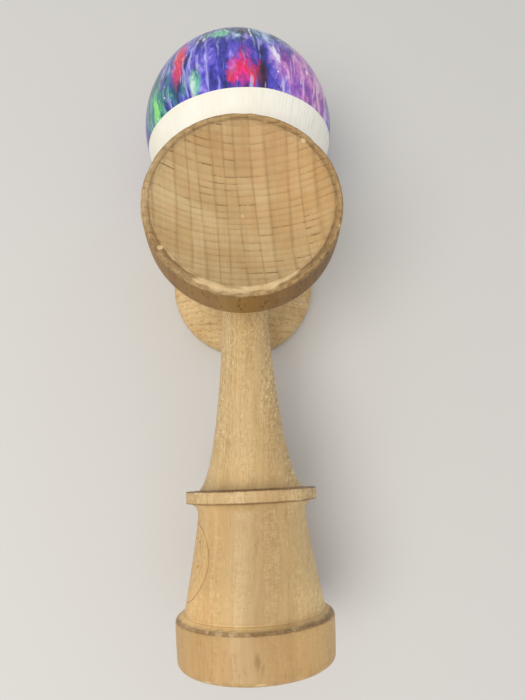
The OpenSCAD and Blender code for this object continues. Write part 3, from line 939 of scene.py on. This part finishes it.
def white_paint():
    """Satin white, brushed round the ball, with drawn strokes and painted light on its right side."""
    m = Shader("white_paint")
    here = m.place()
    x, y, z = [c - at for c, at in zip(m.split(here), BALL_AT)]
    far = m.hypot(x, z)
    stroke = m.field(x / far * 62, z / far * 62, y / 6)
    cloud = m.noise(here, 3.0, 0.55, scale=1 / 9)
    scuff = m.step(m.noise(here, 4.0, 0.7, scale=1 / 2), 0.62, 0.76)
    at_right = m.step(x + (cloud - 0.5) * 30.0, 2.0, 22.0)
    drawn = at_right * 0.8 + 0.14
    m.colour = m.ramp(cloud, [(0.3, (246, 243, 231)), (0.7, (237, 232, 214))])
    # Painted light: the white is made brighter towards the right side.
    m.lay(at_right * 0.7, (252, 250, 242))
    m.lay(m.step(stroke, 0.53, 0.68) * drawn * 0.28, (186, 174, 146))
    m.lay(m.step(stroke, 0.52, 0.36) * drawn * 0.7, (255, 253, 246))
    m.lay(scuff * 0.14, (176, 164, 140))
    normal = m.bump(cloud * 0.3 - stroke * drawn, 0.16 * MM, 0.6)
    roughness = 0.5 + (stroke - 0.5) * 0.2 + scuff * 0.1
    return m.finish(Base_Color=m.colour, Roughness=roughness, Normal=normal, Specular_IOR_Level=0.4)


# Marbling: blots on a blue ground, as (azimuth from the top, angle from the far pole, half width and
# half length in degrees, how much the blot covers, tints)
GROUND = ((0.33, (16, 20, 66)), (0.42, (44, 46, 146)), (0.5, (76, 68, 186)),
          (0.57, (118, 102, 212)), (0.64, (172, 162, 236)), (0.74, (240, 238, 252)))
TINT_STOPS = (0.33, 0.46, 0.56, 0.68)
PINK = ((116, 52, 150), (168, 90, 190), (226, 150, 208), (248, 224, 240))
TEAL = ((12, 36, 52), (24, 92, 108), (60, 160, 128), (138, 232, 104))
DEEP = ((10, 24, 44), (18, 56, 84), (44, 104, 124), (96, 160, 160))
MINT = ((40, 120, 140), (110, 206, 164), (196, 240, 216), (232, 248, 236))
SWIRL = ((10, 20, 46), (24, 62, 104), (92, 142, 192), (222, 234, 242))
ROSE = ((150, 30, 110), (236, 66, 118), (214, 40, 66), (250, 176, 176))
RED = ((150, 24, 110), (240, 40, 138), (214, 20, 64), (236, 74, 42))
SOOT = ((16, 12, 34), (44, 10, 34), (96, 16, 40), (150, 40, 60))
BLOTS = (
    (46, 84, 28, 44, 0.85, PINK), (-60, 92, 26, 36, 0.9, TEAL), (-33, 96, 8, 13, 0.9, DEEP),
    (-24, 97, 5, 13, 0.85, MINT), (8, 57, 50, 17, 0.95, SWIRL), (-12, 61, 12, 7, 0.8, MINT),
    (-35, 76, 6, 22, 0.95, ROSE), (13, 95, 6, 10, 0.85, SOOT), (2, 92, 10, 16, 1.0, RED),
    (104, 88, 22, 30, 0.9, TEAL), (146, 80, 12, 26, 1.0, RED), (-104, 84, 24, 36, 0.85, PINK),
    (-150, 90, 18, 30, 0.9, DEEP), (178, 60, 30, 20, 0.85, SWIRL), (-128, 62, 14, 24, 0.95, ROSE),
    (90, 48, 30, 16, 0.8, MINT), (-60, 36, 40, 18, 0.8, DEEP))
POLE = 0.4  # keeps the streaks from crowding together at the poles


def marbled_paint():
    """Glossy marbling: streaks from pole to pole in blots of colour, with drips and hairs, and white specks
    that are painted highlights.
    """
    m = Shader("marbled_paint")
    x, y, z = [(c - at) / BALL_R for c, at in zip(m.split(m.place()), BALL_AT)]
    far = m.hypot(x, z)
    c, s = [a * (1 + POLE) / (far + POLE) for a in (x, z)]
    theta = m.math("ARCCOSINE", y * 0.9999)
    drift = m.swirl(c * 2.4, s * 2.4, theta * 1.8, 3.0, 0.6)
    curl = m.swirl(c * 7.0, s * 7.0, theta * 5.0)
    c2, s2, down2 = [a + d * 0.3 * k + e * 0.07 * k for a, d, e, k in
                     zip((c, s, theta), drift, curl, (1.0, 1.0, 2.0))]

    def streaks(across, along, seed):
        return m.field(c2 * across + seed, s2 * across - seed, down2 * along, 4.0, 0.62)

    def hairs(across, along, seed):
        hair_c, hair_s = [a + d * 0.12 for a, d in zip((c, s), drift)]
        return m.field(hair_c * across + seed, hair_s * across - seed, theta * along)

    def closeness(azimuth, polar, wide, long):
        to_right, to_top = sin(radians(azimuth)), cos(radians(azimuth))
        turn = m.math("ARCTAN2", c * to_top - s * to_right, c * to_right + s * to_top)
        down = theta - radians(polar)
        return 1.0 - m.hypot(turn / radians(wide), down / radians(long))

    m.colour = m.ramp(streaks(6.5, 2.2, 1.0), GROUND)
    ragged = (streaks(9.0, 3.0, 30.0) - 0.5) * 1.8 + drift[0] * 0.8
    grain = streaks(8.0, 2.6, 11.0) + drift[1] * 0.5
    for azimuth, polar, wide, long, cover, tints in BLOTS:
        near = closeness(azimuth, polar, wide, long) + ragged
        m.lay(m.step(near, 0.02, 0.66) * cover, m.ramp(grain, list(zip(TINT_STOPS, tints))))
    m.lay(m.step(streaks(14.0, 2.2, 70.0), 0.57, 0.68) * 0.55, (18, 20, 58))
    hair_tint = m.mix(m.step(x, 0.2, 0.5), (190, 190, 246), (244, 214, 240))
    m.lay(m.step(hairs(22.0, 2.2, 40.0), 0.55, 0.7) * 0.6, hair_tint)
    m.lay(m.step(hairs(17.0, 2.6, 50.0), 0.66, 0.75) * 0.8, (248, 246, 252))
    # Painted highlights: small white specks, in patches.
    spread = m.step(m.field(x * 2.5, y * 2.5, z * 2.5, 1.0), 0.47, 0.55)
    painted_glint = m.step(m.specks(m.join(x * 11.0, y * 11.0, z * 11.0)), 0.13, 0.07) * spread
    m.lay(painted_glint * 0.85, (246, 246, 250))
    relief = streaks(8.0, 3.0, 60.0)
    normal = m.bump(relief, 0.1 * MM, 0.35)
    return m.finish(Base_Color=m.colour, Roughness=0.26 + relief * 0.14, Normal=normal,
                    Specular_IOR_Level=0.4, Coat_Weight=0.3, Coat_Roughness=0.1)


seam = paint_line()
mouth = [polar_angles(white_points, radius).max() for radius in (BALL_R, CORE_R)]
far_hole = [polar_angles(marbled_points, radius).min() for radius in (BALL_R, CORE_R)]
white_shell = coat((seam, seam), mouth, WHITE_STEPS, WHITE_LOWERED)
marbled_shell = coat(far_hole, (seam, seam), MARBLED_STEPS, MARBLED_LOWERED)
for name, shell, paint, node in (("white_band", white_shell, white_paint(), "white_coat"),
                                 ("marbled_paint", marbled_shell, marbled_paint(), "marbled_coat")):
    piece = finished(shell.piece(name), paint)
    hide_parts(node)
    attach(piece, "ball")


# Floor, light and camera, in metres

FLOOR_HALF, FLOOR_DROP = 1.5, 0.0001
KEY_AT, KEY_AIM = (-0.24, -0.22, 0.66), (0, 0.0, 0.03)
SKY_LOW, SKY_HIGH, SKY_HIGH_AT = (0.56, 0.57, 0.58, 1), (1.0, 1.0, 1.0, 1), 0.9

floor_mesh = bpy.data.meshes.new("floor")
corners = [(x * FLOOR_HALF, y * FLOOR_HALF, 0) for x, y in ((-1, -1), (1, -1), (1, 1), (-1, 1))]
floor_mesh.from_pydata(corners, [], [(0, 1, 2, 3)])
floor = add_object("floor", floor_mesh)
floor.location.z = -FLOOR_DROP
floor_mesh.materials.append(Shader("floor_grey").finish(Base_Color=(208, 206, 202), Roughness=0.8))

key = bpy.data.lights.new("key_light", "AREA")
key.shape, key.size, key.energy, key.color = "DISK", 0.5, 2.9, (1.0, 0.97, 0.93)
key_light = add_object("key_light", key)
key_light.location = KEY_AT
key_light.rotation_euler = (Vector(KEY_AIM) - Vector(KEY_AT)).to_track_quat("-Z", "Y").to_euler()

world = bpy.data.worlds.new("soft_sky")
world.use_nodes = True
sky = world.node_tree
background = sky.nodes["Background"]
kinds = "TexCoord", "SeparateXYZ", "ValToRGB"
heading, parts, shade = [sky.nodes.new("ShaderNode" + kind) for kind in kinds]
sky.links.new(heading.outputs["Generated"], parts.inputs[0])
sky.links.new(parts.outputs["Z"], shade.inputs[0])
sky.links.new(shade.outputs[0], background.inputs["Color"])
for stop, at, colour in zip(shade.color_ramp.elements, (0.0, SKY_HIGH_AT), (SKY_LOW, SKY_HIGH)):
    stop.position, stop.color = at, colour
background.inputs["Strength"].default_value = 0.75
bpy.context.scene.world = world
bpy.context.scene.view_settings.view_transform = "Standard"

# The photograph's viewpoint: place in millimetres, angles in radians, focal length in pixels
CAMERA_AT = (-1.631, -48.102, 183.446)
TILT, ROLL, TURN = 0.23719, -0.0424, -0.0426
FOCAL_PX, LONG_SIDE_PX = 526.476, 700
SENSOR = 36.0
camera_data = bpy.data.cameras.new("camera")
camera_data.sensor_width = SENSOR
camera_data.lens = FOCAL_PX * SENSOR / LONG_SIDE_PX
camera_data.clip_start = 0.01
camera = add_object("camera", camera_data)
camera.matrix_world = (Matrix.Translation(Vector(CAMERA_AT) * MM)
                       @ Matrix.Rotation(TURN, 4, "Y") @ Matrix.Rotation(TILT, 4, "X")
                       @ Matrix.Rotation(ROLL, 4, "Z"))
bpy.context.scene.camera = camera
